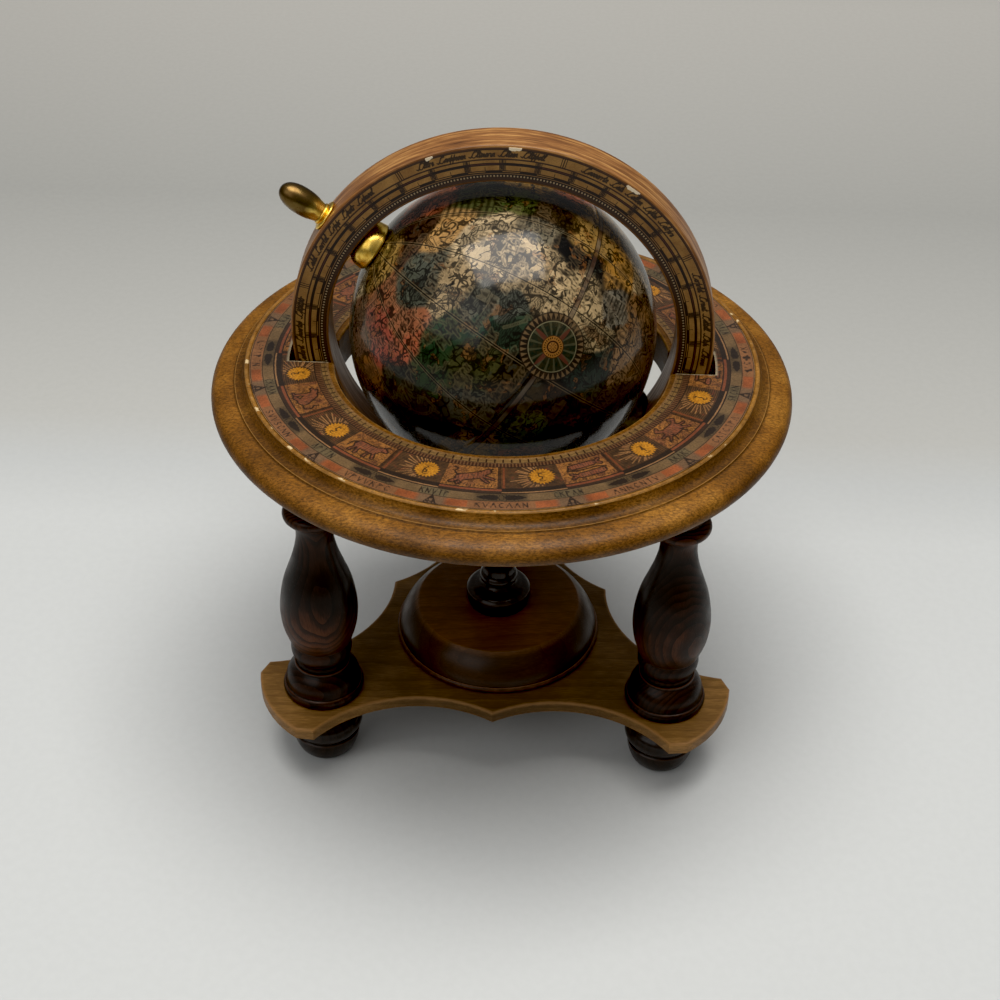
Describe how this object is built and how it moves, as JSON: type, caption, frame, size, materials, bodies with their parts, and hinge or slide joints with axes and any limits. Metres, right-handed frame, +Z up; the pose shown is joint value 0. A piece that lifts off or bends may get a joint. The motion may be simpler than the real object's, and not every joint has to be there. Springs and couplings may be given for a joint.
{
  "type": "desktop globe",
  "caption": "Desktop globe on a turned wooden stand: a printed ball on a tilted rod in an upright ring that turns in a wide horizon ring on baluster legs.",
  "frame": {"origin": "middle of the footprint, on the surface that the feet stand on", "axes": "+Z up, +X to the right and +Y to the back; the meridian ring stands in the XZ plane"},
  "size_m": [0.175, 0.175, 0.2064],
  "materials": {
    "leg_wood": "dark walnut stain, semi-gloss",
    "black_wood": "ebonised, semi-gloss",
    "plate_wood": "medium brown stain, satin",
    "plinth_wood": "reddish brown stain, semi-gloss",
    "ring_wood": "golden brown stain, varnished",
    "plywood": "light brown, worn edges",
    "printed_paper": "printed and varnished",
    "map_paper": "printed map under a glossy clear coat",
    "shell_board": "pressed board",
    "brass": "polished",
    "steel": "plain drawn"
  },
  "bodies": {
    "stand": {"base_plate": "plate_wood", "plinth": "plinth_wood", "centre_post": "black_wood", "post_screw": "steel", "leg_front_left": "leg_wood", "leg_front_right": "leg_wood", "leg_back": "leg_wood", "foot_front_left": "black_wood", "foot_front_right": "black_wood", "foot_back": "black_wood", "horizon_ring": "ring_wood", "horizon_print": "printed_paper"},
    "meridian": {"meridian_ring": "plywood", "meridian_print_front": "printed_paper", "meridian_print_back": "printed_paper", "axle_rod": "steel", "finial": "brass", "finial_washer": "brass", "upper_bell": "brass", "lower_bell": "brass", "lower_nut": "brass"},
    "globe": {"globe_shell_north": "shell_board", "globe_shell_south": "shell_board", "map_skin_north": "map_paper", "map_skin_south": "map_paper", "seam_band": "shell_board", "pole_bush_north": "brass", "pole_bush_south": "brass"}
  },
  "joints": [
    {"name": "meridian_turn", "type": "hinge", "parent": "stand", "child": "meridian", "pos_m": [0, 0, 0.1439], "axis": [0, 1, 0], "range_deg": [-39, 149]},
    {"name": "globe_spin", "type": "hinge", "parent": "meridian", "child": "globe", "pos_m": [0, 0, 0.1439], "axis": [-0.8192, 0, 0.5736], "continuous": true}
  ]
}
